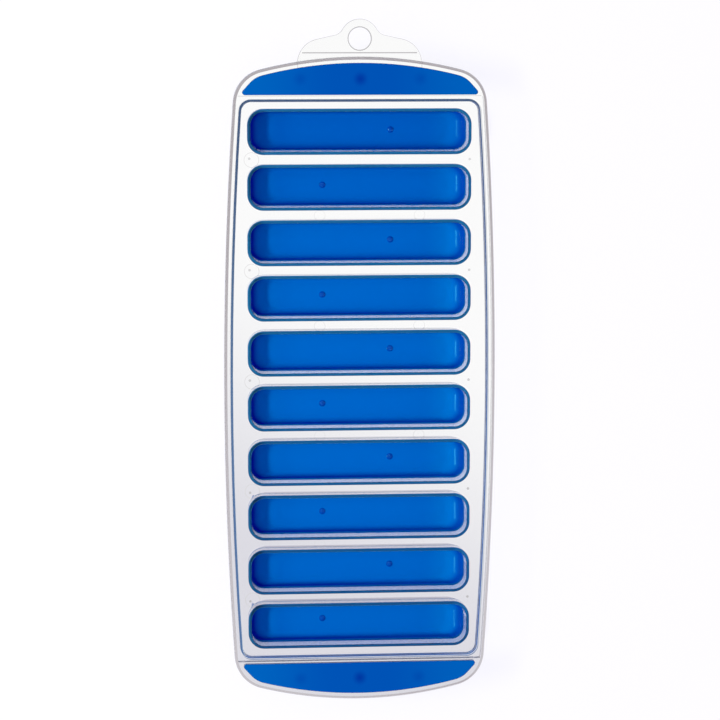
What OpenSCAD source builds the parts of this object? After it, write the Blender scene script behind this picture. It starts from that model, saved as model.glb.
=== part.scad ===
// Ice stick tray: a clear rigid frame with ten windows, a soft blue cup bonded under each window,
// a soft grip inlaid at each end, and a film tab with a peg hole under one end.
// It lies flat on its cups: X across, Y along the tray towards the tab, Z up from the table.

/* [Cavities] */
// Number of stick cavities
cavity_count = 10; // [4:1:14]
// Length of a cavity at the deck
mouth_l = 98.2; // [70:0.1:130]
// Width of a cavity at the deck
mouth_w = 17.8; // [14:0.1:24]
// Width of the web between two cavities
web_w = 7.2; // [5:0.1:12]
// Corner radius of a cavity at the deck
mouth_r = 5.9; // [4.8:0.1:6.8]
// Depth of a cavity, from the deck to its floor
cavity_depth = 17.8; // [15:0.1:24]
// Draft of the cavity walls, in degrees
draft = 2.4; // [0.5:0.1:4]

/* [Cups] */
// Wall thickness of collar and cup
wall_t = 1.45; // [1:0.05:2]
// Thickness of the cup floor, which is pushed to free the ice
floor_t = 1.2; // [0.8:0.1:2]
// Fillet between the floor and the long walls
side_fillet = 2.8; // [2:0.1:4.5]
// Fillet between the floor and the end walls
end_fillet = 8; // [5:0.1:9]
// Depth below the deck at which the cup starts
cup_top = 8.6; // [6:0.1:10]
// Height over which the cup laps around the collar
lap_h = 2; // [1:0.1:3]
// Thickness of the collar's tongue inside the lap
tongue_t = 0.7; // [0.4:0.05:0.8]
// Distance of the gate mark from the middle of the cup
gate_x = 15.5; // [0:0.5:25]
// Radius of the gate mark
gate_r = 1.5; // [0.8:0.1:2]
// Height of the gate mark above the floor
gate_h = 0.7; // [0.2:0.05:1]

/* [Frame] */
// Distance from the cavities to the deck's sides, at the middle of the tray
side_margin = 8.25; // [5.5:0.05:15]
// Distance from the last cavity to the deck's end
end_margin = 4.6; // [3:0.1:10]
// Length of a handle, from the deck's end to the end of the frame
handle_l = 20; // [18:0.5:35]
// How far the bowed long sides come in along the deck
side_bow = 4.3; // [1:0.1:4.6]
// How far the bowed ends come in along the width
end_bow = 10.6; // [5:0.1:12]
// Corner radius of the frame
corner_r = 16; // [10:0.5:20]
// Corner radius of the deck
deck_r = 4.4; // [3:0.1:6]
// Radius of the rim's top edge
rim_edge_r = 0.8; // [0.3:0.1:1.2]
// Thickness of the deck and of the handle floors
deck_t = 1.5; // [1:0.1:2]
// Height of the rim above the deck
step_h = 3; // [2.2:0.1:5]
// Thickness of the rim's top
flange_t = 1.4; // [1:0.1:1.8]
// Thickness of the outer wall
skirt_t = 1.3; // [1:0.1:1.8]
// Thickness of the wall between rim and deck
step_t = 1.2; // [0.8:0.1:1.8]
// Width of the open channel under the rim, along the sides
channel_w = 1.4; // [1:0.1:3]
// Width of the open channel between the deck and a handle
end_channel_w = 1; // [0.7:0.1:3]

/* [Grips] */
// Thickness of the wall between a grip and the open channel
surround_t = 0.9; // [0.7:0.05:1.2]
// Distance of a grip's arc from the end of the frame
grip_margin = 2.7; // [2.4:0.1:4]
// Distance of a grip's tips from the sides of the frame
tip_margin = 2.35; // [2:0.05:5]
// Direction that a grip's slanted ends face, in degrees from the X axis
slant_a = 42.3; // [38:0.1:55]
// Radius between a slanted end and the arc
shoulder_r = 11.5; // [3:0.5:14]
// Radius of the tips
tip_r = 1.2; // [0.6:0.1:1.5]
// Radius of a grip's top edge
grip_edge_r = 0.4; // [0.2:0.1:0.5]
// Number of plugs that hold a grip
plug_count = 3; // [1:2:5]
// Distance between plugs
plug_pitch = 27; // [15:1:30]
// Radius of a plug
plug_r = 1.6; // [1:0.1:2.5]

/* [Hang tab] */
// Thickness of the film
tab_t = 0.4; // [0.3:0.05:0.8]
// Half width of the film
tab_half_w = 28; // [24:0.5:35]
// Length of film bonded under the handle
bond_l = 14; // [8:0.5:16]
// Distance from the end of the frame to the hole's centre
hole_out = 8; // [7:0.1:14]
// Radius of the peg hole
hole_r = 5; // [3:0.1:5.5]
// Radius of the arch around the hole
arch_r = 8.8; // [7.5:0.1:12]
// Angle at which the arch runs into its flanks
flank_a = 32; // [20:1:45]
// Length of the flanks down to the wings
flank_l = 3.15; // [2.8:0.05:5]
// Fillet between the flanks and the wings
neck_r = 5.5; // [2:0.1:6]
// Drop of the wing's corner below the hole's centre
wing_drop = 2.1; // [0:0.1:4]
// Radius of the wing's corner
wing_r = 11; // [5:0.5:12]

/* [Hidden] */
$fn = 64;
arc_steps = 6;
corner_steps = 10;
edge_angles = [0, 30, 60, 90];
overshoot = 1;
clear_of_wall = 0.05;

cavity_pitch = mouth_w + web_w;
taper = tan(draft);
deck_z = floor_t + cavity_depth;
base_z = deck_z - deck_t;
rim_z = deck_z + step_h;
cup_top_z = deck_z - cup_top;
collar_z = cup_top_z - lap_h;

rim_w = skirt_t + channel_w + step_t;
deck_half_l = ((cavity_count - 1) * cavity_pitch + mouth_w) / 2 + end_margin;
half_w = mouth_l / 2 + side_margin + rim_w;
half_l = deck_half_l + handle_l;
side_r = (deck_half_l ^ 2 + side_bow ^ 2) / (2 * side_bow);
end_r = (half_w ^ 2 + end_bow ^ 2) / (2 * end_bow);
side_c = [half_w - side_r, 0];
end_c = [0, half_l - end_r];

grip_y = deck_half_l + step_t + end_channel_w + surround_t;
grip_top_y = half_l - grip_margin;
plug_y = (grip_y + grip_top_y) / 2;

hole_y = half_l + hole_out;
middle_y = (hole_y + arch_r - half_l) / 2;

function two_digits(k) = k < 10 ? str("0", k) : str(k);
function cup_name(k) = str("cup_", two_digits(k));
function cavity_y(k) = ((cavity_count + 1) / 2 - k) * cavity_pitch;
function polar(c, r, a) = c + r * [cos(a), sin(a)];
function angle_of(v) = atan2(v.y, v.x);
function unit(v) = v / norm(v);

// Points of an arc, from angle a0 to angle a1
function arc(c, r, a0, a1, steps) = [for (i = [0:steps]) polar(c, r, a0 + (a1 - a0) * i / steps)];

// The corner b between a and c, rounded with radius r
function rounded(a, b, c, r, steps = 6) =
    let (
        u = unit(a - b),
        v = unit(c - b),
        half = acos(u * v) / 2,
        centre = b + unit(u + v) * r / sin(half),
        reach = r / tan(half),
        a0 = angle_of(b + u * reach - centre),
        turn = angle_of(b + v * reach - centre) - a0
    )
    arc(centre, r, a0, a0 + (turn > 180 ? turn - 360 : turn < -180 ? turn + 360 : turn), steps);

// Where the circles around a and b, with radii ra and rb, meet to the left of the line a to b
function circles_meet(a, ra, b, rb) =
    let (
        d = norm(b - a),
        u = (b - a) / d,
        along = (ra ^ 2 - rb ^ 2 + d ^ 2) / (2 * d),
        off = sqrt(ra ^ 2 - along ^ 2)
    )
    a + along * u + off * [-u.y, u.x];

// A closed outline from its quarter, which runs from the X axis to the Y axis
function four_way(q) =
    let (n = len(q))
    concat(
        q,
        [for (i = [n - 2:-1:0]) [-q[i].x, q[i].y]],
        [for (i = [1:n - 1]) -q[i]],
        [for (i = [n - 2:-1:1]) [q[i].x, -q[i].y]]
    );

// A closed outline from its right half, which ends on the Y axis
function two_way(h) = concat(h, [for (i = [len(h) - 2:-1:0]) [-h[i].x, h[i].y]]);

// All but the first point, which the stretch before has drawn
function rest(points) = [for (i = [1:len(points) - 1]) points[i]];

// The frame's outline: bowed sides and ends joined by tangent corners, moved inwards by inset
function frame_outline(inset = 0) =
    let (
        c = circles_meet(side_c, side_r - corner_r, end_c, end_r - corner_r),
        a_side = angle_of(c - side_c),
        a_end = angle_of(c - end_c)
    )
    four_way(concat(
        arc(side_c, side_r - inset, 0, a_side, arc_steps),
        rest(arc(c, corner_r - inset, a_side, a_end, corner_steps)),
        rest(arc(end_c, end_r - inset, a_end, 90, arc_steps))
    ));

// The deck's outline: sides parallel to the frame's, straight ends
function deck_outline(inset = 0) =
    let (
        r = side_r - rim_w,
        y = deck_half_l - deck_r,
        c = [side_c.x + sqrt((r - deck_r) ^ 2 - y ^ 2), y],
        a_side = angle_of(c - side_c)
    )
    four_way(concat(
        arc(side_c, r - inset, 0, a_side, arc_steps),
        rest(arc(c, deck_r - inset, a_side, 90, corner_steps)),
        [[0, deck_half_l - inset]]
    ));

// The grip's outline at the +Y end: a straight edge, two slanted ends and an arc along the frame's end
function grip_outline(inset = 0) =
    let (
        tip = [side_c.x + sqrt(side_r ^ 2 - grip_y ^ 2) - tip_margin, grip_y],
        tip_c = polar(tip, -tip_r / cos((slant_a + 90) / 2), (slant_a - 90) / 2),
        arc_r = end_r - grip_margin,
        out = [cos(slant_a), sin(slant_a)],
        reach = (tip - end_c) * out - shoulder_r,
        shoulder_c = end_c + reach * out + sqrt((arc_r - shoulder_r) ^ 2 - reach ^ 2) * [-out.y, out.x],
        a_arc = angle_of(shoulder_c - end_c)
    )
    two_way(concat(
        arc(tip_c, tip_r - inset, -90, slant_a, arc_steps),
        arc(shoulder_c, shoulder_r - inset, slant_a, a_arc, arc_steps),
        rest(arc(end_c, arc_r - inset, a_arc, 90, arc_steps))
    ));

// The film's outline, from its bonded edge to the arch around the hole
function tab_outline() =
    let (
        hole = [0, hole_y],
        root = [tab_half_w, half_l - bond_l],
        wing = [tab_half_w, hole_y - wing_drop],
        neck = polar(hole, arch_r, flank_a) + flank_l * [sin(flank_a), -cos(flank_a)],
        top = hole + arch_r * [tan((90 - flank_a) / 2), 1]
    )
    two_way(concat(
        [root],
        rounded(root, wing, neck, wing_r),
        rounded(wing, neck, top, neck_r),
        arc(hole, arch_r, flank_a, 90, corner_steps)
    ));

// Half width of a cavity's corner at depth h below the deck, with material of thickness t around it
function corner_reach(h, t = 0) = mouth_r - h * taper + t;

// Points of a fillet of radius r between a floor at z and a wall that leans out by the draft
function floor_fillet(x, z, r, steps) =
    arc([x - r * (1 - sin(draft)) / cos(draft), z + r], r, -90, -draft, steps);

// Moves the children into the tray's frame, whose origin is under the middle of the whole part
module placed() {
    translate([0, -middle_y, 0]) children();
}

module slab(outline, z0, z1) {
    translate([0, 0, z0]) linear_extrude(z1 - z0) polygon(outline);
}

// A solid swept round a cavity: the children are its section, drawn outwards from the corner's axis
module round_cavity(z0, z1) {
    l = mouth_l - 2 * mouth_r;
    w = mouth_w - 2 * mouth_r;
    translate([-l / 2, -w / 2, z0]) cube([l, w, z1 - z0]);
    for (side = [0, 180]) {
        rotate(side) {
            translate([l / 2, w / 2, 0]) rotate([90, 0, 0]) linear_extrude(w) children();
            translate([-l / 2, w / 2, 0]) rotate([90, 0, 90]) linear_extrude(l) children();
            translate([l / 2, w / 2, 0]) rotate_extrude(angle = 90) children();
            translate([-l / 2, w / 2, 0]) rotate(90) rotate_extrude(angle = 90) children();
        }
    }
}

// The long section of a cavity or cup, with its rounded ends, run across the tray
module end_rounding(floor_z, t) {
    wall_x = mouth_l / 2 - (deck_z - floor_z) * taper + t + clear_of_wall;
    round_end = floor_fillet(wall_x, floor_z, end_fillet + t, arc_steps + 2);
    last = round_end[len(round_end) - 1];
    top = rim_z + overshoot;
    half = concat(round_end, [[mouth_l, last.y], [mouth_l, top], [0, top]]);
    rotate([90, 0, 0])
        linear_extrude(mouth_w * 2, center = true)
        polygon(two_way(half));
}

// The space that the ice fills, and the open mouth above it
module cavity_space() {
    intersection() {
        round_cavity(floor_t, rim_z)
            polygon(concat(
                [[0, floor_t]],
                floor_fillet(corner_reach(cavity_depth), floor_t, side_fillet, arc_steps),
                [[corner_reach(-step_h), rim_z], [0, rim_z]]
            ));
        end_rounding(floor_t, 0);
    }
}

// The cavity's walls alone, right through the frame
module window_space() {
    low = collar_z - overshoot;
    high = rim_z + overshoot;
    round_cavity(low, high)
        polygon([
            [0, low],
            [corner_reach(deck_z - low), low],
            [corner_reach(deck_z - high), high],
            [0, high]
        ]);
}

// The collar below a window, filled, with the tongue that the cup laps around
module collar_form() {
    round_cavity(collar_z, deck_z)
        polygon([
            [0, collar_z],
            [corner_reach(cup_top + lap_h, tongue_t), collar_z],
            [corner_reach(cup_top, tongue_t), cup_top_z],
            [corner_reach(cup_top, wall_t), cup_top_z],
            [corner_reach(0, wall_t), deck_z],
            [0, deck_z]
        ]);
}

module cup_form() {
    intersection() {
        round_cavity(0, cup_top_z)
            polygon(concat(
                [[0, 0]],
                floor_fillet(corner_reach(deck_z, wall_t), 0, side_fillet + wall_t, arc_steps),
                [[corner_reach(cup_top, wall_t), cup_top_z], [0, cup_top_z]]
            ));
        end_rounding(0, wall_t);
    }
}

// A low dome where the soft material was fed in
module gate_mark() {
    dome_r = (gate_r ^ 2 + gate_h ^ 2) / (2 * gate_h);
    intersection() {
        translate([0, 0, floor_t + gate_h - dome_r]) sphere(dome_r);
        translate([0, 0, floor_t / 2]) cylinder(r = gate_r * 2, h = floor_t + gate_h);
    }
}

// Cups are counted from the tab end; their gate marks alternate from side to side
module cup(k) {
    color("royalblue")
        placed() translate([0, cavity_y(k), 0]) {
            difference() {
                cup_form();
                collar_form();
                cavity_space();
            }
            translate([k % 2 == 1 ? gate_x : -gate_x, 0, 0]) gate_mark();
        }
}

module at_both_ends() {
    for (end = [0, 180]) rotate(end) children();
}

module at_cavities() {
    for (k = [1:cavity_count]) translate([0, cavity_y(k), 0]) children();
}

module at_plugs() {
    for (i = [0:plug_count - 1])
        translate([(i - (plug_count - 1) / 2) * plug_pitch, plug_y, 0]) children();
}

// A solid between stacked outlines with the same number of points
module loft(outlines, heights) {
    n = len(outlines[0]);
    last = (len(heights) - 1) * n;
    polyhedron(
        points = [for (j = [0:len(heights) - 1]) for (p = outlines[j]) [p.x, p.y, heights[j]]],
        faces = concat(
            [[for (i = [0:n - 1]) i]],
            [[for (i = [n - 1:-1:0]) last + i]],
            [for (j = [0:n:last - 1]) for (i = [0:n - 1])
                let (next = (i + 1) % n) [j + i, j + n + i, j + n + next, j + next]]
        )
    );
}

// How far a rounded edge of radius r has come in, and how far it still is from the top
function edge_inset(r) = concat([0], [for (a = edge_angles) r * (1 - cos(a))]);
function edge_heights(r, z0, z1) = concat([z0], [for (a = edge_angles) z1 - r * (1 - sin(a))]);

// The rim's outer body, solid, with its rounded top edge
module rim_body() {
    loft(
        [for (inset = edge_inset(rim_edge_r)) frame_outline(inset)],
        edge_heights(rim_edge_r, base_z, rim_z)
    );
}

// What stays solid under the rim: the deck, and the handles, whose walls are too close to leave a channel
module solid_under_rim(z0, z1) {
    slab(deck_outline(-step_t), z0, z1);
    at_both_ends()
        translate([-half_w, grip_y - surround_t, z0]) cube([2 * half_w, handle_l, z1 - z0]);
}

module frame() {
    color("aliceblue", 0.4) placed() difference() {
        union() {
            difference() {
                rim_body();
                slab(deck_outline(), deck_z, rim_z + overshoot);
                at_both_ends() slab(grip_outline(), deck_z, rim_z + overshoot);
                difference() {
                    slab(frame_outline(skirt_t), base_z - overshoot, rim_z - flange_t);
                    solid_under_rim(base_z - 2 * overshoot, rim_z);
                }
            }
            at_cavities() collar_form();
        }
        at_cavities() window_space();
        at_both_ends() at_plugs() translate([0, 0, base_z - overshoot])
            cylinder(r = plug_r, h = deck_t + 2 * overshoot);
    }
}

// The soft grip of one end, moulded into the handle, with plugs through the handle's floor
module grip(end) {
    color("royalblue") placed() rotate(end) {
        loft(
            [for (inset = edge_inset(grip_edge_r)) grip_outline(inset)],
            edge_heights(grip_edge_r, deck_z, rim_z)
        );
        at_plugs() translate([0, 0, base_z]) cylinder(r = plug_r, h = deck_t + grip_edge_r);
    }
}

module hang_tab() {
    color("white", 0.3) placed() difference() {
        slab(tab_outline(), base_z - tab_t, base_z);
        translate([0, hole_y, base_z - tab_t - overshoot])
            cylinder(r = hole_r, h = tab_t + 2 * overshoot);
    }
}

frame();
for (k = [1:cavity_count]) {
    cup(k);
}
grip(0);  // grip_tab_end
grip(180);  // grip_far_end
hang_tab();
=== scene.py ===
import math

import bmesh
import bpy
from mathutils import Matrix, Vector
from mathutils.geometry import delaunay_2d_cdt


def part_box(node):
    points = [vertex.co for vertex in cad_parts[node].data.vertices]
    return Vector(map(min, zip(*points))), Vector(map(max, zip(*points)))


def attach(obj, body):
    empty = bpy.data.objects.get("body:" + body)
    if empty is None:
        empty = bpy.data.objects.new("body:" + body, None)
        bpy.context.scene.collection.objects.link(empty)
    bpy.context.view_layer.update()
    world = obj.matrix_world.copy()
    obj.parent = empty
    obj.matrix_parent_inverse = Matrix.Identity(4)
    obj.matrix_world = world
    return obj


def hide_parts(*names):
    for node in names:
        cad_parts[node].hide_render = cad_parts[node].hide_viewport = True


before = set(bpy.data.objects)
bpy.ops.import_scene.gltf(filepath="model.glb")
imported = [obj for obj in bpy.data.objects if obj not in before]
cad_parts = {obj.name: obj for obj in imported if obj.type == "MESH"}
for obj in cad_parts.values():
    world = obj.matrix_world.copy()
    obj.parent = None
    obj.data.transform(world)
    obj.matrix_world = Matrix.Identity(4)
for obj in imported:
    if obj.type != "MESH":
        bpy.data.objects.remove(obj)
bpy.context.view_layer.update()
scene = bpy.context.scene
mm = 0.001

# Outlines below are drawn in millimetres about the middle of the cavity grid, as seen from above
frameLow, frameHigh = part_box("frame")
gridShift = (frameLow.y + frameHigh.y) / 2 / mm  # the tab makes the whole tray longer at one end
rimTop = frameHigh.z / mm
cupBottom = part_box("cup_01")[0].z / mm
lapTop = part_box("cup_01")[1].z / mm
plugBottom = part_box("grip_tab_end")[0].z / mm
print(f"frame loaded, cavity grid centred at {gridShift:.2f} mm")

# Camera: a tele view from above, slightly to the left of and beyond the tray's middle
camera = {
    "place": (-0.1365, 0.1843, 1.4922),  # metres
    "turns": (7.06, 5.3, -0.07),  # degrees about X, Y and Z
    "lens": 165.0,
    "sensor": 36.0,
    "clip": (0.05, 50),
}


def makeCamera():
    data = bpy.data.cameras.new("camera")
    data.lens = camera["lens"]
    data.sensor_width = camera["sensor"]
    data.clip_start, data.clip_end = camera["clip"]
    about = [Matrix.Rotation(math.radians(a), 3, axis) for a, axis in zip(camera["turns"], "XYZ")]
    toCamera = about[2] @ about[0] @ about[1]
    thing = bpy.data.objects.new("camera", data)
    thing.matrix_world = Matrix.Translation(camera["place"]) @ toCamera.transposed().to_4x4()
    scene.collection.objects.link(thing)
    scene.camera = thing


makeCamera()
print("camera placed")


# Lines and arcs
def polar(centre, radius, angle):
    a = math.radians(angle)
    return Vector((centre[0] + radius * math.cos(a), centre[1] + radius * math.sin(a)))


def angleOf(v):
    return math.degrees(math.atan2(v.y, v.x))


def arc(centre, radius, start, end, steps):
    return [polar(centre, radius, start + (end - start) * i / steps) for i in range(steps + 1)]


def circle(centre, radius, steps):
    return arc(centre, radius, 0, 360, steps)[:-1]


def circlesMeet(a, ra, b, rb):
    d = (b - a).length
    u = (b - a) / d
    along = (ra ** 2 - rb ** 2 + d ** 2) / (2 * d)
    return a + u * along + Vector((-u.y, u.x)) * math.sqrt(ra ** 2 - along ** 2)


def roundedCorner(a, b, c, radius, steps):
    u, v = (a - b).normalized(), (c - b).normalized()
    half = math.acos(u.dot(v)) / 2
    centre = b + (u + v).normalized() * radius / math.sin(half)
    start = angleOf(b + u * radius / math.tan(half) - centre)
    turn = (angleOf(b + v * radius / math.tan(half) - centre) - start + 180) % 360 - 180
    return arc(centre, radius, start, start + turn, steps)


def fourWay(quarter):
    back = quarter[-2::-1]
    return (quarter + [Vector((-p.x, p.y)) for p in back]
            + [-p for p in quarter[1:]] + [Vector((p.x, -p.y)) for p in back[:-1]])


def twoWay(half):
    return half + [Vector((-p.x, p.y)) for p in half[-2::-1]]


def asDrawn(outline):
    return outline


def turned(outline):
    return [-p for p in outline]


def moved(outline, x, y):
    return [p + Vector((x, y)) for p in outline]


def roundedBox(halfX, halfY, radius, steps):
    c = Vector((halfX - radius, halfY - radius))
    quarter = arc(c, radius, 0, 90, steps)
    corners = [quarter, [Vector((-p.x, p.y)) for p in quarter[::-1]],
               [-p for p in quarter], [Vector((p.x, -p.y)) for p in quarter[::-1]]]
    return [p for corner in corners for p in corner]


# A round stretch of a section, as pairs of growth and height
def bend(grow, z, radius, start, end, steps):
    return [tuple(spot) for spot in arc((grow, z), radius, start, end, steps)]


def holds(outline, point):
    inside = False
    for a, b in zip(outline, outline[1:] + outline[:1]):
        spans = (a.y > point.y) != (b.y > point.y)
        if spans and point.x < a.x + (b.x - a.x) * (point.y - a.y) / (b.y - a.y):
            inside = not inside
    return inside


insideWithoutHoles = 2  # what the triangulation of a plate keeps
sameCorner = 1e-5  # millimetres within which it takes two corners for one


class Skin:
    # a closed surface made of loops at some height, walls between loops and flat plates between loops;
    # a face's finish is its material
    def __init__(self, plain):
        self.plain = plain  # the finish where no other is named
        self.points, self.faces, self.finishes = [], [], []

    def face(self, corners, finish):
        self.faces.append(tuple(corners))
        self.finishes.append(finish or self.plain)

    def loop(self, outline, z):
        first = len(self.points)
        self.points += [(p.x, p.y, z) for p in outline]
        return list(range(first, len(self.points)))

    def wall(self, loops, finish=None):
        for low, high in zip(loops, loops[1:]):
            n = len(low)
            for i in range(n):
                self.face((low[i], low[(i + 1) % n], high[(i + 1) % n], high[i]), finish)
        return loops[0], loops[-1]

    def upright(self, outline, heights, finish=None):
        return self.wall([self.loop(outline, z) for z in heights], finish)

    def section(self, outlineAt, profile, finish=None):
        return self.wall([self.loop(outlineAt(grow), z) for grow, z in profile], finish)

    def plate(self, *loops, finish=None):
        spots = [i for loop in loops for i in loop]
        owner = [n for n, loop in enumerate(loops) for _ in loop]
        edges = []
        for loop in loops:
            edges += [(len(edges) + i, len(edges) + (i + 1) % len(loop)) for i in range(len(loop))]
        flat = [Vector(self.points[i][:2]) for i in spots]
        triangles, origins = delaunay_2d_cdt(flat, edges, [], insideWithoutHoles, sameCorner)[2:4]
        for triangle in triangles:
            corners = [origins[i][0] for i in triangle]
            owners = {owner[i] for i in corners}
            if len(owners) == 1 and owners != {0}:  # perhaps across a hole
                centre = sum((flat[i] for i in corners), Vector((0, 0))) / 3
                if holds([flat[i] for i in range(len(flat)) if owner[i] in owners], centre):
                    continue
            self.face([spots[i] for i in corners], finish)

    # Another finish for those faces made since the first that lie where it is wanted
    def refinish(self, first, finish, wanted):
        for n in range(first, len(self.faces)):
            if wanted([self.points[i] for i in self.faces[n]]):
                self.finishes[n] = finish


crispAngle = 32  # degrees between two faces, above which their edge isn't shaded round


def makePiece(name, skin, node):
    mesh = bpy.data.meshes.new(name)
    mesh.from_pydata([(x * mm, (y + gridShift) * mm, z * mm) for x, y, z in skin.points], [], skin.faces)
    materials = list(dict.fromkeys(skin.finishes))
    for material in materials:
        mesh.materials.append(material)
    work = bmesh.new()
    work.from_mesh(mesh)
    work.faces.ensure_lookup_table()
    bmesh.ops.recalc_face_normals(work, faces=work.faces)
    for face in work.faces:
        face.smooth = True
        face.material_index = materials.index(skin.finishes[face.index])
    work.to_mesh(mesh)
    work.free()
    mesh.set_sharp_from_angle(angle=math.radians(crispAngle))
    thing = bpy.data.objects.new(name, mesh)
    scene.collection.objects.link(thing)
    evenNormals = thing.modifiers.new("even normals", "WEIGHTED_NORMAL")
    evenNormals.mode, evenNormals.weight, evenNormals.keep_sharp = "FACE_AREA", 100, True
    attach(thing, "root")
    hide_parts(node)
    return thing


class Value:
    # a node's output, so that shader maths reads as plain Python
    def __init__(self, shader, output):
        self.shader, self.output = shader, output

    def maths(self, operation, *values):
        return self.shader.node("ShaderNodeMath", {"operation": operation}, dict(enumerate(values)))

    def __add__(self, other):
        return self.maths("ADD", self, other)

    def __radd__(self, other):
        return self.maths("ADD", other, self)

    def __sub__(self, other):
        return self.maths("SUBTRACT", self, other)

    def __rsub__(self, other):
        return self.maths("SUBTRACT", other, self)

    def __mul__(self, other):
        return self.maths("MULTIPLY", self, other)

    def __rmul__(self, other):
        return self.maths("MULTIPLY", other, self)

    def __pow__(self, other):
        return self.maths("POWER", self, other)

    def __rpow__(self, other):
        return self.maths("POWER", other, self)

    def __abs__(self):
        return self.maths("ABSOLUTE", self)

    def atLeast(self, other):
        return self.maths("MAXIMUM", self, other)

    def between(self, low, high):
        return self.shader.node("ShaderNodeMapRange", {"interpolation_type": "SMOOTHSTEP"},
                                {"Value": self, "From Min": low, "From Max": high})


colourMix = {"share": 0, "first": 6, "second": 7, "result": 2}  # sockets of a Mix node set to colours


class Shader:
    def __init__(self, tree):
        self.tree = tree
        tree.nodes.clear()

    def node(self, kind, settings=None, inputs=None, output=0):
        made = self.tree.nodes.new(kind)
        for name, value in (settings or {}).items():
            setattr(made, name, value)
        for name, value in (inputs or {}).items():
            socket = made.inputs[name]
            if isinstance(value, Value):
                self.tree.links.new(value.output, socket)
            else:
                socket.default_value = (*value, 1) if socket.type == "RGBA" else value
        return Value(self, made.outputs[output])

    def mixColour(self, share, first, second):
        inputs = {colourMix["share"]: share, colourMix["first"]: first, colourMix["second"]: second}
        return self.node("ShaderNodeMix", {"data_type": "RGBA"}, inputs, colourMix["result"])

    def mixShader(self, share, first, second):
        return self.node("ShaderNodeMixShader", None, {0: share, 1: first, 2: second})

    def place(self):
        spot = self.node("ShaderNodeTexCoord", output="Object")
        return [self.node("ShaderNodeSeparateXYZ", None, {"Vector": spot}, axis) for axis in "XYZ"]

    def path(self, *kinds):
        rays = [self.node("ShaderNodeLightPath", output=kind) for kind in kinds]
        total = rays[0]
        for ray in rays[1:]:
            total = total.atLeast(ray)
        return total

    def surface(self, value, kind="ShaderNodeOutputMaterial"):
        self.tree.links.new(value.output, self.tree.nodes.new(kind).inputs["Surface"])


def newMaterial(name):
    made = bpy.data.materials.new(name)
    made.use_nodes = True
    return made, Shader(made.node_tree)


# Clear plastic refracts what the eye sees through it, and lets the lamps' light pass without caustics.
# Its tint is one plain colour, or painted light and shade that runs from near to far along a direction,
# over a stretch in metres
clear = {"ior": 1.5, "shade": (0.95, 0.95, 0.97), "tint": (0.99, 0.99, 0.99)}


def paintedLightAlong(shader, tint):
    x, y, z = shader.place()
    across, along = tint["along"]
    share = (x * across + y * along).between(*tint["stretch"])
    return shader.mixColour(share, tint["near"], tint["far"])


def clearPlastic(name, tint=clear["tint"], roughness=0.0, coat=0.0, through=1.0):
    made, shader = newMaterial(name)
    plastic = shader.node("ShaderNodeBsdfPrincipled", None, {
        "Base Color": paintedLightAlong(shader, tint) if isinstance(tint, dict) else tint,
        "Roughness": roughness, "IOR": clear["ior"],
        "Transmission Weight": through, "Coat Weight": coat,
    })
    passing = shader.node("ShaderNodeBsdfTransparent", None, {"Color": clear["shade"]})
    shader.surface(shader.mixShader(shader.path("Is Shadow Ray"), plastic, passing))
    return made


# Soft plastic: the colour can carry painted light and shade, and the gloss has its own colour
soft = {"roughness": 0.17, "specular": 0.09, "gloss": (0.0, 0.9, 1.0), "coat": 0.0}
polished = {"roughness": 0.03, "specular": 0.5, "gloss": (1, 1, 1), "coat": 1.0}
gateFinish = {"roughness": 0.06, "specular": 1.0, "gloss": (0.2, 0.8, 1.0), "coat": 0.0}


def softPlastic(name, colour, finish=soft):
    made, shader = newMaterial(name)
    shader.surface(shader.node("ShaderNodeBsdfPrincipled", None, {
        "Base Color": colour(shader) if callable(colour) else colour,
        "Roughness": finish["roughness"], "Specular IOR Level": finish["specular"],
        "Specular Tint": finish["gloss"], "Coat Weight": finish["coat"],
    }))
    return made


# Cavities, in millimetres, counted from the tab end
cavity = {
    "count": 10, "pitch": 25.0, "halfLength": 49.1, "halfWidth": 8.9, "corner": 5.9, "cornerSteps": 14,
    "depth": 17.8, "draft": 2.4, "leadIn": 0.35, "leadInSteps": 6,
}
taper = math.tan(math.radians(cavity["draft"]))


def cavityY(k):
    return ((cavity["count"] + 1) / 2 - k) * cavity["pitch"]


# A cavity's outline, grown outwards by some millimetres
def cavityOutline(k, grow):
    halfX, halfY, corner = (cavity[size] + grow for size in ("halfLength", "halfWidth", "corner"))
    return moved(roundedBox(halfX, halfY, corner, cavity["cornerSteps"]), 0, cavityY(k))


# Clear frame, in millimetres and degrees: a rim, a step down to the deck, collars under the windows,
# and a handle at each end
rim = {
    "step": 3.0, "deck": 1.5, "flange": 1.4, "skirt": 1.3, "stepWall": 1.2, "channel": 1.4,
    "endMargin": 4.6, "sideMargin": 8.25, "handle": 20.0, "endChannel": 1.0,
    "sideBow": 4.3, "endBow": 10.6, "corner": 16.0, "deckCorner": 4.4, "steps": 40, "cornerSteps": 20,
    "edge": 0.8, "edgeSteps": 8, "foot": 0.2, "inner": 0.3, "innerSteps": 6, "fineSteps": 4,
    "deckFillet": 0.12, "stepDraft": 1.5, "collarFoot": 0.1,
    "band": 0.45,  # strip of the rim's top that has the outer wall's finish, with its painted dark edge
    "wallFoot": (1.05, 0.1),  # strip of the step wall's foot with its own finish, a painted blue line
    "handleFoot": (0.1, 0.55), "handleFootIn": 6.5,
    "sideFrom": 50.0, "farEndWithin": 1.0, "collarFrom": 1.0,  # where further finishes with painted light and shade begin
}
deckTop = rimTop - rim["step"]
base = deckTop - rim["deck"]
channelTop = rimTop - rim["flange"]
rimWidth = rim["skirt"] + rim["channel"] + rim["stepWall"]
deckHalf = (cavity["count"] - 1) / 2 * cavity["pitch"] + cavity["halfWidth"] + rim["endMargin"]
halfWidth = cavity["halfLength"] + rim["sideMargin"] + rimWidth
halfLength = deckHalf + rim["handle"]
handleY = deckHalf + rim["stepWall"] + rim["endChannel"]
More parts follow.
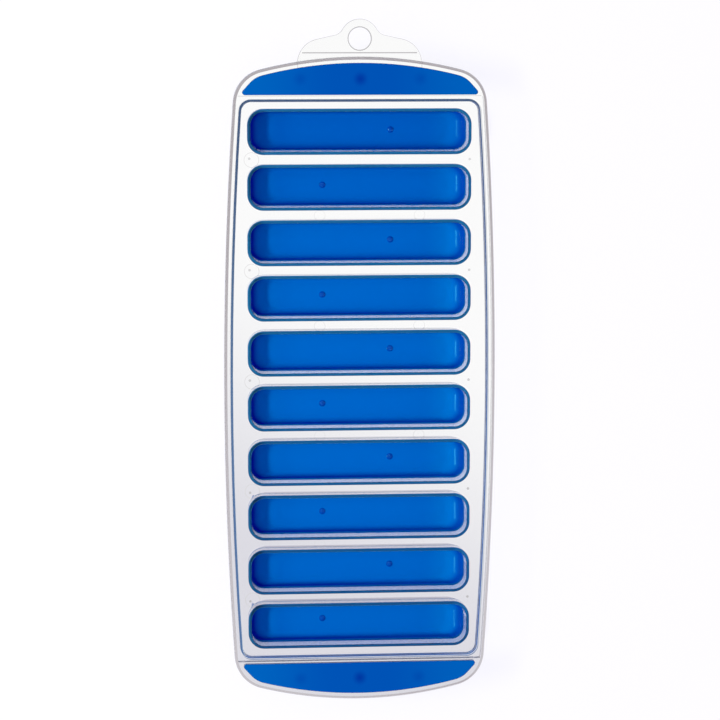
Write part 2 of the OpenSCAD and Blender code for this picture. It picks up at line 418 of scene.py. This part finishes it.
sideRadius = (deckHalf ** 2 + rim["sideBow"] ** 2) / (2 * rim["sideBow"])
endRadius = (halfWidth ** 2 + rim["endBow"] ** 2) / (2 * rim["endBow"])
sideCentre = Vector((halfWidth - sideRadius, 0))
endCentre = Vector((0, halfLength - endRadius))

# Painted shade and light on the clear plastic: the deck is painted greyer away from the light, and a
# wall that is looked into is painted with the colour that light pipes into it from what stands beside it
deckPaintedShade = {
    "along": (0.5, 1), "stretch": (0.04, -0.12),
    "near": (1, 1, 1), "far": (0.56, 0.55, 0.64),
}
# painted blue line: the step wall's foot shows the cups' blue piped through the wall, near black towards
# the tab end
stepFootPaintedBlue = {
    "along": (0, -1), "stretch": (-0.12, 0.13),
    "near": (0.0008, 0.006, 0.035), "far": (0.012, 0.055, 0.21),
}
# painted shade: the outer wall and a band of the rim's top are dark grey, darkest towards the tab end
# and the left
outerPaintedDarkEdge = {
    "along": (0.3, -1), "stretch": (-0.12, 0.15),
    "near": (0.21, 0.185, 0.205), "far": (0.36, 0.33, 0.37),
}
# painted shade: the window walls' halves away from the tab turn lilac-blue towards the far end
collarPaintedShade = {
    "along": (0, -1), "stretch": (0.0, 0.13),
    "near": (1, 1, 1), "far": (0.30, 0.34, 0.52),
}
# painted blue: the step wall at the far end shows the cups' blue that it pipes
stepFacePaintedBlue = {
    "along": (0, -1), "stretch": (0.0, 0.1),
    "near": (1, 1, 1), "far": (0.045, 0.17, 0.37),
}
# painted blue: the step wall along the right side shows the cups' blue that it pipes
stepSidePaintedBlue = {
    "along": (0, -1), "stretch": (-0.12, 0.12),
    "near": (0.15, 0.25, 0.72), "far": (0.09, 0.23, 0.83),
}
# painted shade: pin marks and the wall's foot beside each grip are grey lines, darker towards the far
# end
markPaintedShade = {
    "along": (0, 1), "stretch": (-0.2, 0.2),
    "near": (0.26, 0.25, 0.27), "far": (0.68, 0.67, 0.68),
}
# painted shade: walls of the mould rings and faint rounds are grey lines, darker towards the far end
ringPaintedShade = {
    "along": (0, 1), "stretch": (-0.2, 0.2),
    "near": (0.44, 0.43, 0.45), "far": (0.72, 0.71, 0.72),
}
clearFrame = clearPlastic("clear frame")
clearDeck = clearPlastic("clear deck", deckPaintedShade)
clearStep = clearPlastic("clear step wall", stepFootPaintedBlue)
clearOuter = clearPlastic("clear outer wall", outerPaintedDarkEdge, roughness=0.12)
clearCollar = clearPlastic("clear collar", collarPaintedShade)
clearOutside = clearPlastic("clear collar outside", coat=1.0)
clearStepFace = clearPlastic("clear step face", stepFacePaintedBlue, roughness=0.1, through=0.45)
clearStepSide = clearPlastic("clear step side", stepSidePaintedBlue)
clearMark = clearPlastic("clear mould mark", markPaintedShade)
clearRing = clearPlastic("clear mould ring", ringPaintedShade)


def frameQuarter(inset):
    corner = circlesMeet(sideCentre, sideRadius - rim["corner"], endCentre, endRadius - rim["corner"])
    sideAngle, endAngle = angleOf(corner - sideCentre), angleOf(corner - endCentre)
    return (arc(sideCentre, sideRadius - inset, 0, sideAngle, rim["steps"])
            + arc(corner, rim["corner"] - inset, sideAngle, endAngle, rim["cornerSteps"])[1:]
            + arc(endCentre, endRadius - inset, endAngle, 90, rim["steps"])[1:])


def frameOutline(inset):
    return fourWay(frameQuarter(inset))


def deckOutline(inset):
    radius, corner = sideRadius - rimWidth, rim["deckCorner"]
    y = deckHalf - corner
    c = Vector((sideCentre.x + math.sqrt((radius - corner) ** 2 - y ** 2), y))
    angle = angleOf(c - sideCentre)
    return fourWay(arc(sideCentre, radius - inset, 0, angle, rim["steps"])
                   + arc(c, corner - inset, angle, 90, rim["cornerSteps"])[1:]
                   + [Vector((0, deckHalf - inset))])


# The open channel under the rim: outside it the outer wall, at its ends the handles
def channelOutline():
    quarter = frameQuarter(rim["skirt"])
    last = max(i for i, p in enumerate(quarter) if p.y < handleY)
    a, b = quarter[last], quarter[last + 1]
    corner = a + (b - a) * (handleY - a.y) / (b.y - a.y)
    return fourWay(quarter[:last + 1] + [corner, Vector((0, handleY))])


# Foot of the wall between a grip and the channel, a straight strip of the frame's underside, painted as
# a grey shade line
def handleFoot():
    near, far = (handleY + inset for inset in rim["handleFoot"])
    x = halfWidth - rim["handleFootIn"]
    return [Vector(c) for c in ((-x, near), (x, near), (x, far), (-x, far))]


# Marks that the mould leaves on the webs, in millimetres: every other web has a ring with a pin mark
# in it and a pin mark at its far end, and the webs between have two faint rounds
marks = {
    "ringX": -48.7, "ringRadius": 3.4, "ringEdge": 0.22, "ringDepth": 0.06, "pinAside": (-1.0, 0.6),
    "pinX": 49.6, "pinRadius": 0.6, "pinEdge": 0.3, "pinDepth": 0.15,
    "roundX": (-18.1, 27.0), "roundRadius": 2.5, "roundEdge": 0.1, "roundDepth": 0.03, "steps": 40,
}


# A round dip in the deck, whose wall slopes in by the mark's edge
def markPit(skin, kind, x, y, finish, below=0.0):
    radius, edge, depth = (marks[kind + size] for size in ("Radius", "Edge", "Depth"))
    outer = skin.loop(circle((x, y), radius, marks["steps"]), deckTop - below)
    inner = skin.loop(circle((x, y), radius - edge, marks["steps"]), deckTop - below - depth)
    return skin.wall([outer, inner], finish)


def ringAndPins(skin, y):
    x = marks["ringX"]
    asideX, asideY = marks["pinAside"]
    ring, ringFloor = markPit(skin, "ring", x, y, clearRing)
    inRing, inRingFloor = markPit(
        skin, "pin", x + asideX, y + math.copysign(asideY, y), clearMark, marks["ringDepth"])
    alone, aloneFloor = markPit(skin, "pin", marks["pinX"], y, clearMark)
    skin.plate(ringFloor, inRing, finish=clearDeck)
    skin.plate(inRingFloor, finish=clearMark)
    skin.plate(aloneFloor, finish=clearMark)
    return [ring, alone]


def faintRounds(skin, y):
    loops = []
    for x in marks["roundX"]:
        outer, floor = markPit(skin, "round", x, y, clearRing)
        skin.plate(floor, finish=clearDeck)
        loops.append(outer)
    return loops


def mouldMarks(skin):
    loops = []
    for web in range(1, cavity["count"]):
        leave = ringAndPins if web % 2 else faintRounds
        loops += leave(skin, cavityY(web + 0.5))
    return loops


def makeOuterWall(skin):
    edge, foot = rim["edge"], rim["foot"]
    profile = bend(-foot, base + foot, foot, -90, 0, rim["fineSteps"])
    profile += bend(-edge, rimTop - edge, edge, 0, 90, rim["edgeSteps"])
    bottomEdge, topEdge = skin.section(lambda grow: frameOutline(-grow), profile, clearOuter)
    band = skin.loop(frameOutline(edge + rim["band"]), rimTop)
    skin.plate(topEdge, band, finish=clearOuter)
    return bottomEdge, band


def makeStep(skin):
    inner, fillet = rim["inner"], rim["deckFillet"]
    lean = math.tan(math.radians(rim["stepDraft"])) * (rim["step"] - inner - fillet)
    profile = bend(inner, rimTop - inner, inner, 90, 180, rim["innerSteps"])
    profile += bend(-lean - fillet, deckTop + fillet, fillet, 0, -90, rim["fineSteps"])
    first = len(skin.faces)
    top, deckEdge = skin.section(lambda grow: deckOutline(-grow), profile)
    farEnd = rim["farEndWithin"] - deckHalf
    # painted blue on the step wall's right side and far end
    skin.refinish(first, clearStepSide, lambda corners: min(c[0] for c in corners) > rim["sideFrom"])
    skin.refinish(first, clearStepFace, lambda corners: max(c[1] for c in corners) < farEnd)
    return top, deckEdge


# Where the cup's lap and the collar's tongue meet, as growths of the cavity's outline
def lapSection():
    tongueZ = lapTop - cup["lap"]
    return -(deckTop - lapTop) * taper, -(deckTop - tongueZ) * taper, tongueZ


# The collar below a window narrows to a tongue, which the cup laps around
def makeCollar(skin, k):
    lead, wall, foot, tongue = cavity["leadIn"], cup["wall"], rim["collarFoot"], cup["tongue"]
    lapGrow, tongueGrow, tongueZ = lapSection()
    inside = bend(lead, deckTop - lead, lead, 90, 180, cavity["leadInSteps"]) + [(tongueGrow, tongueZ)]
    lip = [(tongueGrow + tongue, tongueZ), (lapGrow + tongue, lapTop), (lapGrow + wall, lapTop)]
    outside = bend(wall - (deckTop - base) * taper + foot, base - foot, foot, 180, 90, rim["fineSteps"])
    first = len(skin.faces)
    window, innerFoot = skin.section(lambda grow: cavityOutline(k, grow), inside)
    # painted shade on the half of the window wall away from the tab
    collarShadeUpTo = cavityY(k) - rim["collarFrom"]
    skin.refinish(first, clearCollar, lambda corners: min(c[1] for c in corners) < collarShadeUpTo)
    lips = [skin.loop(cavityOutline(k, grow), z) for grow, z in lip]
    skin.wall([innerFoot] + lips)
    outer = [skin.loop(cavityOutline(k, grow), z) for grow, z in outside]
    skin.wall(lips[-1:] + outer, clearOutside)
    return window, outer[-1]


def plugCircle(i, radius):
    return circle(((i - (grip["plugs"] - 1) / 2) * grip["plugPitch"], plugY), radius, grip["plugSteps"])


# The recess for a grip, with the holes that its plugs go through
def makeRecess(skin, turn):
    top, floor = skin.upright(turn(gripOutline(0)), (rimTop, deckTop))
    holes = [skin.upright(turn(plugCircle(i, grip["plugRadius"])), (base, deckTop))
             for i in range(grip["plugs"])]
    skin.plate(floor, *[high for low, high in holes])
    foot = skin.loop(turn(handleFoot()), base)
    # painted shade line on the wall's foot beside the grip
    skin.plate(foot, finish=clearMark)
    return top, [low for low, high in holes] + [foot]


def makeFrame():
    skin = Skin(clearFrame)
    bottomEdge, band = makeOuterWall(skin)
    stepTop, deckEdge = makeStep(skin)
    recesses = [makeRecess(skin, turn) for turn in (asDrawn, turned)]
    skin.plate(band, stepTop, *[top for top, below in recesses], finish=clearDeck)

    collars = [makeCollar(skin, k) for k in range(1, cavity["count"] + 1)]
    skin.plate(deckEdge, *[window for window, foot in collars], *mouldMarks(skin), finish=clearDeck)

    innerFoot, innerTop = skin.upright(deckOutline(-rim["stepWall"]), (base, channelTop))
    outerFoot, outerTop = skin.upright(channelOutline(), (base, channelTop))
    stripOuter, stripInner = (skin.loop(deckOutline(-inset), base) for inset in rim["wallFoot"])
    skin.plate(outerTop, innerTop)
    skin.plate(innerFoot, stripOuter)
    skin.plate(stripOuter, stripInner, finish=clearStep)
    skin.plate(stripInner, *[foot for window, foot in collars])
    skin.plate(bottomEdge, outerFoot, *[loop for top, below in recesses for loop in below])
    return makePiece("clearTray", skin, "frame")


# Soft cups, in millimetres
cup = {
    "wall": 1.45, "tongue": 0.7, "lap": 2.0, "seat": 0.03,
    "sideFillet": 2.8, "endFillet": 8.0, "insideSteps": 16, "outsideSteps": 14,
    "cornerPinch": 0.35,  # share of the side fillet that comes off the corner radius
    "cornerSpare": 0.05, "insideBelowLip": 0.3, "outsideBelowLap": 0.2,
    "gateX": 15.5, "gateRadius": 1.5, "gateHeight": 0.7, "gateRings": 8, "gateSteps": 32,
}
# The blue carries painted light and shade: the walls are painted darker than the floor from their foot
# up, the left walls darker than the right ones, the floor lighter towards the cup ends, as the paper
# beside them lights them, and darker towards the tab end, and the outer walls and the gate mark darker.
# The stretches over which the blue changes are in metres
cupBlue = {
    "floorBlue": (0.0, 0.145, 0.48), "floorShadedTabEnd": (0.0, 0.106, 0.42),
    "floorLitEnds": (0.0, 0.182, 0.53), "floorLitEndsTabEnd": (0.0, 0.13, 0.46),
    "wallShadeLeft": (0.0, 0.003, 0.31), "wallShadeRight": (0.0, 0.066, 0.375),
    "outside": (0.0, 0.068, 0.34), "gate": (0.0, 0.07, 0.36),
    "upWall": (0.0013, 0.0058), "toTab": (0.03, 0.14), "toCupEnds": (0.03, 0.043),
    "across": (-0.045, 0.045),
}
# The lap is seen through the clear collar around it, and its blue is painted light and shade: darker
# towards the tab end, lighter at the cups' left ends, but darker there near the tab
bondBlue = {
    "near": (0.01, 0.168, 0.385), "far": (0.012, 0.195, 0.48),
    "left": (0.012, 0.21, 0.43), "leftTabEnd": (0.01, 0.115, 0.27),
    "fromTab": (0.03, -0.11), "leftToTab": (0.02, 0.1), "toLeft": (-0.042, -0.049),
}


def cupColour(shader):
    x, y, z = shader.place()
    # painted shade towards the tab end, painted light at the cup ends, painted shade up the walls,
    # deeper on the left
    toTab = y.between(*cupBlue["toTab"])
    middle = shader.mixColour(toTab, cupBlue["floorBlue"], cupBlue["floorShadedTabEnd"])
    ends = shader.mixColour(toTab, cupBlue["floorLitEnds"], cupBlue["floorLitEndsTabEnd"])
    floorBlue = shader.mixColour(abs(x).between(*cupBlue["toCupEnds"]), middle, ends)
    wallShade = shader.mixColour(x.between(*cupBlue["across"]), cupBlue["wallShadeLeft"], cupBlue["wallShadeRight"])
    return shader.mixColour(z.between(*cupBlue["upWall"]), floorBlue, wallShade)


def bondColour(shader):
    x, y, z = shader.place()
    # painted light and shade on the lap's blue
    along = shader.mixColour(y.between(*bondBlue["fromTab"]), bondBlue["near"], bondBlue["far"])
    left = shader.mixColour(y.between(*bondBlue["leftToTab"]), bondBlue["left"], bondBlue["leftTabEnd"])
    return shader.mixColour(x.between(*bondBlue["toLeft"]), along, left)


def outsideColour(shader):
    x, y, z = shader.place()
    # painted shade: the outer walls darken from the floor's blue upwards
    return shader.mixColour(z.between(*cupBlue["upWall"]), cupBlue["floorBlue"], cupBlue["outside"])


cupSoft = softPlastic("cup blue", cupColour)
cupBond = softPlastic("cup blue under the collar", bondColour)
cupOutside = softPlastic("cup blue outside", outsideColour, polished)
# painted shade: the gate mark's dome is darker than the floor
cupGate = softPlastic("cup blue gate mark", cupBlue["gate"], gateFinish)


# How far a fillet takes a wall in at a height above the floor
def filletIn(radius, height):
    return radius - math.sqrt(max(0, radius * radius - max(0, radius - height) ** 2))


# A cup's outline at a height above its floor, t outside the cavity
def cupOutline(k, height, t):
    grow = t - (cavity["depth"] - height) * taper
    sideIn, endIn = filletIn(cup["sideFillet"] + t, height), filletIn(cup["endFillet"] + t, height)
    halfX, halfY = cavity["halfLength"] + grow - endIn, cavity["halfWidth"] + grow - sideIn
    corner = min(cavity["corner"] + grow - cup["cornerPinch"] * sideIn, halfY - cup["cornerSpare"])
    return moved(roundedBox(halfX, halfY, corner, cavity["cornerSteps"]), 0, cavityY(k))


def filletHeights(radius, steps):
    return [radius * (1 - math.cos(math.radians(90 * i / steps))) for i in range(steps + 1)]


def cupLevels(skin, k, bottom, t, steps, below):
    heights = [h for h in filletHeights(cup["endFillet"] + t, steps) if bottom + h < below]
    return [skin.loop(cupOutline(k, h, t), bottom + h) for h in heights]


# The gate mark is a low dome off the middle of the floor, to the left and to the right in turn
def gateDome(skin, k, floorZ):
    radius, height, rings = cup["gateRadius"], cup["gateHeight"], cup["gateRings"]
    centre = (cup["gateX"] if k % 2 else -cup["gateX"], cavityY(k))
    ball = (radius ** 2 + height ** 2) / (2 * height)
    loops = []
    for i in range(rings):
        r = radius * (1 - i / rings)
        z = floorZ + height - ball + math.sqrt(ball ** 2 - r ** 2)
        loops.append(skin.loop(circle(centre, r, cup["gateSteps"]), z))
    return loops


def makeCup(k):
    skin = Skin(cupSoft)
    floorZ, seat, wall, tongue = deckTop - cavity["depth"], cup["seat"], cup["wall"], cup["tongue"]
    lapGrow, tongueGrow, tongueZ = lapSection()
    lip = [(tongueGrow, tongueZ + seat), (tongueGrow + tongue - seat, tongueZ + seat),
           (lapGrow + tongue - seat, lapTop + seat), (lapGrow + wall, lapTop + seat)]
    lips = [skin.loop(cavityOutline(k, grow), z) for grow, z in lip]
    insideTop, outsideTop = tongueZ - cup["insideBelowLip"], lapTop - cup["outsideBelowLap"]
    inside = cupLevels(skin, k, floorZ, 0, cup["insideSteps"], insideTop)
    outside = cupLevels(skin, k, cupBottom, wall, cup["outsideSteps"], outsideTop)[::-1]
    dome = gateDome(skin, k, floorZ)
    skin.wall(inside + lips[:1])
    skin.wall(lips + outside[:1], cupBond)
    skin.wall(outside, cupOutside)
    skin.wall(dome, cupGate)
    skin.plate(inside[0], dome[0])
    skin.plate(dome[-1], finish=cupGate)
    skin.plate(outside[-1], finish=cupOutside)
    return makePiece(f"softCup{k:02d}", skin, f"cup_{k:02d}")


# Soft grips, in millimetres, flush in the handles and held by plugs
grip = {
    "surround": 0.9, "margin": 2.7, "tipMargin": 2.35, "slant": 42.3, "shoulder": 11.5, "tip": 1.2,
    "tipSteps": 10, "shoulderSteps": 16, "endSteps": 24, "edge": 0.4, "edgeSteps": 6, "seat": 0.02,
    "plugRadius": 1.6, "plugPitch": 27.0, "plugs": 3, "plugSteps": 32,
}
gripY = handleY + grip["surround"]
plugY = (gripY + halfLength - grip["margin"]) / 2
# Painted shade: the plugs show as dark rounds, the outer ones faintly, and the blue is lighter towards
# the grip's ends. Stretches are in metres
gripBlue = {
    "ends": (0.0, 0.106, 0.295), "middle": (0.0, 0.077, 0.27), "plug": (0.0, 0.035, 0.21),
    "toEnds": (0.01, 0.05), "toPlug": (0.0042, 0.0), "toSidePlugs": (0.005, 0.02), "sidePlug": 0.35,
}


def gripColour(shader):
    x, y, z = shader.place()
    plain = shader.mixColour(abs(x).between(*gripBlue["toEnds"]), gripBlue["middle"], gripBlue["ends"])
    halfPitch = grip["plugPitch"] / 2 * mm
    dx = abs(abs(x) - halfPitch) - halfPitch
    dy = abs(y - gridShift * mm) - plugY * mm
    # painted shade over the plugs
    near = ((dx * dx + dy * dy) ** 0.5).between(*gripBlue["toPlug"])
    share = 1 - abs(x).between(*gripBlue["toSidePlugs"]) * (1 - gripBlue["sidePlug"])
    return shader.mixColour(near * share, plain, gripBlue["plug"])


gripSoft = softPlastic("grip blue", gripColour)


def gripHalf(inset):
    slant = grip["slant"]
    tipX = sideCentre.x + math.sqrt(sideRadius ** 2 - gripY ** 2) - grip["tipMargin"]
    tip = Vector((tipX, gripY))
    tipCentre = polar(tip, -grip["tip"] / math.cos(math.radians((slant + 90) / 2)), (slant - 90) / 2)
    arcRadius, shoulder = endRadius - grip["margin"], grip["shoulder"]
    out = polar((0, 0), 1, slant)
    reach = (tip - endCentre).dot(out) - shoulder
    across = math.sqrt((arcRadius - shoulder) ** 2 - reach ** 2)
    shoulderCentre = endCentre + out * reach + Vector((-out.y, out.x)) * across
    arcAngle = angleOf(shoulderCentre - endCentre)
    return (arc(tipCentre, grip["tip"] - inset, -90, slant, grip["tipSteps"])
            + arc(shoulderCentre, shoulder - inset, slant, arcAngle, grip["shoulderSteps"])
            + arc(endCentre, arcRadius - inset, arcAngle, 90, grip["endSteps"])[1:])


def gripOutline(inset):
    return twoWay(gripHalf(inset))


def makeGrip(name, node, turn):
    skin = Skin(gripSoft)
    edge, seat = grip["edge"], grip["seat"]
    profile = [(seat, deckTop - seat)]
    profile += bend(seat - edge, rimTop - edge, edge, 0, 90, grip["edgeSteps"])
    low, top = skin.section(lambda grow: turn(gripOutline(-grow)), profile)
    skin.plate(top)
    plugs = [skin.upright(turn(plugCircle(i, grip["plugRadius"] + seat)), (plugBottom, deckTop - seat))
             for i in range(grip["plugs"])]
    for foot, root in plugs:
        skin.plate(foot)
    skin.plate(low, *[root for foot, root in plugs])
    return makePiece(name, skin, node)


# Film tab with a peg hole, in millimetres, with a crease where it leaves the handle
tab = {
    "halfWidth": 28.0, "bond": 14.0, "thickness": 0.4, "gap": 0.02, "edge": 0.2,
    "holeOut": 8.0, "hole": 5.0, "holeEdge": 0.45, "holeSteps": 64,
    "arch": 8.8, "archSteps": 24, "flankAngle": 32.0, "flank": 3.15, "neck": 5.5, "wingDrop": 2.1,
    "wing": 11.0, "cornerSteps": 12,
    "creaseOut": 1.7, "creaseHalfWidth": 25.8, "creaseWidth": 0.5, "creaseDepth": 0.12,
    "creaseFloor": 0.05, "creaseCorner": 0.02, "creaseSteps": 2,
}
holeY = halfLength + tab["holeOut"]
# painted shade: the film's cut edges, its hole's edge and its crease are grey lines
filmEdgePaintedShade = (0.3, 0.29, 0.3)
clearFilm = clearPlastic("clear film")
filmEdge = clearPlastic("clear film edge", filmEdgePaintedShade)


def tabOutline(inset):
    hole = Vector((0, holeY))
    root = Vector((tab["halfWidth"] - inset, halfLength - tab["bond"] + inset))
    wing = Vector((tab["halfWidth"] - inset, holeY - tab["wingDrop"] - inset))
    flank = math.radians(tab["flankAngle"])
    downFlank = Vector((math.sin(flank), -math.cos(flank)))
    arch = tab["arch"] - inset
    neck = polar(hole, arch, tab["flankAngle"]) + downFlank * tab["flank"]
    top = hole + arch * Vector((math.tan((math.pi / 2 - flank) / 2), 1))
    return twoWay([root] + roundedCorner(root, wing, neck, tab["wing"] - inset, tab["cornerSteps"])
                  + roundedCorner(wing, neck, top, tab["neck"] + inset, tab["cornerSteps"])
                  + arc(hole, arch, tab["flankAngle"], 90, tab["archSteps"]))


def creaseOutline(inset):
    halfX, halfY = tab["creaseHalfWidth"] - inset, tab["creaseWidth"] / 2 - inset
    box = roundedBox(halfX, halfY, tab["creaseCorner"], tab["creaseSteps"])
    return moved(box, 0, halfLength + tab["creaseOut"])


def holeOutline(grow):
    return circle((0, holeY), tab["hole"] + grow, tab["holeSteps"])


def makeTab():
    skin = Skin(clearFilm)
    low, high = base - tab["thickness"], base - tab["gap"]
    outer = skin.section(tabOutline, [(0, low), (tab["edge"], high)], filmEdge)
    hole = skin.section(holeOutline, [(0, low), (tab["holeEdge"], high)], filmEdge)
    creaseIn = tab["creaseWidth"] / 2 - tab["creaseFloor"]
    profile = [(0, high), (creaseIn, high - tab["creaseDepth"])]
    brim, crease = skin.section(creaseOutline, profile, filmEdge)
    skin.plate(crease, finish=filmEdge)
    skin.plate(outer[0], hole[0])
    skin.plate(outer[1], hole[1], brim)
    return makePiece("filmTab", skin, "hang_tab")


print("materials made")
makeFrame()
cups = [makeCup(k) for k in range(1, cavity["count"] + 1)]
makeGrip("softGripTabEnd", "grip_tab_end", asDrawn)
makeGrip("softGripFarEnd", "grip_far_end", turned)
makeTab()
print("tray built")

# Studio: a white paper floor that partly shines by itself, and an even world whose light is bluish
studio = {
    "floorSize": 12.0, "floorGap": 0.00005, "paper": (0.9, 0.9, 0.9), "ownLight": 0.85,
    "ambient": 0.82, "ambientColour": (0.85, 0.75, 1.58), "white": (1, 1, 1),
    "overhead": 0.15, "horizon": 1.0, "horizonTo": 0.5,  # brightness that gloss mirrors
}
# Lamps from the left, in metres and watts: one lights the tray and one only gives the cups their streak
lamps = {
    "key": {
        "place": (-0.98, 0.0, 0.92), "size": (0.6, 0.14), "power": 13.5, "colour": (1, 1, 0.92),
        "gloss": False,
    },
    "sheen": {
        "place": (-1.29, -0.18, 0.48), "size": (0.46, 0.1), "power": 8.5, "colour": (1, 1, 1),
        "gloss": True,
    },
}


def makeFloor():
    half, z = studio["floorSize"] / 2, -studio["floorGap"]
    mesh = bpy.data.meshes.new("floor")
    corners = [(-half, -half, z), (half, -half, z), (half, half, z), (-half, half, z)]
    mesh.from_pydata(corners, [], [(0, 1, 2, 3)])
    made, shader = newMaterial("floor")
    paper = shader.node("ShaderNodeBsdfDiffuse", None, {"Color": studio["paper"]})
    white = shader.node("ShaderNodeEmission", None, {"Color": studio["white"]})
    seen = shader.path("Is Camera Ray", "Is Glossy Ray") * studio["ownLight"]
    seen = seen.atLeast(shader.path("Is Transmission Ray"))
    shader.surface(shader.mixShader(seen, paper, white))
    mesh.materials.append(made)
    thing = bpy.data.objects.new("floor", mesh)
    scene.collection.objects.link(thing)


def makeWorld():
    world = bpy.data.worlds.new("studio")
    scene.world = world
    world.use_nodes = True
    shader = Shader(world.node_tree)
    direction = shader.node("ShaderNodeTexCoord", output="Generated")
    height = shader.node("ShaderNodeSeparateXYZ", None, {"Vector": direction}, "Z")
    up = height.between(0.0, studio["horizonTo"])
    mirrored = studio["horizon"] + up * (studio["overhead"] - studio["horizon"])
    glossy = shader.path("Is Glossy Ray")
    strength = glossy * mirrored + (1 - glossy) * studio["ambient"]
    colour = shader.mixColour(glossy, studio["ambientColour"], studio["white"])
    light = shader.node("ShaderNodeBackground", None, {"Color": colour, "Strength": strength})
    white = shader.node("ShaderNodeBackground", None, {"Color": studio["white"], "Strength": 1.0})
    seen = shader.path("Is Camera Ray", "Is Transmission Ray")
    shader.surface(shader.mixShader(seen, light, white), "ShaderNodeOutputWorld")


# A lamp gives either plain light or gloss, and perhaps to some pieces only
def makeLamp(name, onto=None):
    lamp = lamps[name]
    data = bpy.data.lights.new(name, "AREA")
    data.shape = "RECTANGLE"
    data.size, data.size_y = lamp["size"]
    data.energy, data.color = lamp["power"], lamp["colour"]
    thing = bpy.data.objects.new(name, data)
    thing.location = lamp["place"]
    thing.rotation_euler = (-Vector(lamp["place"])).to_track_quat("-Z", "Y").to_euler()
    thing.visible_diffuse, thing.visible_glossy = not lamp["gloss"], lamp["gloss"]
    thing.visible_transmission = False
    if onto:
        lit = bpy.data.collections.new(name + " falls on")
        for piece in onto:
            lit.objects.link(piece)
        thing.light_linking.receiver_collection = lit
    scene.collection.objects.link(thing)


makeFloor()
makeWorld()
makeLamp("key")
makeLamp("sheen", cups)
scene.view_settings.view_transform = "Standard"
print("studio lit")
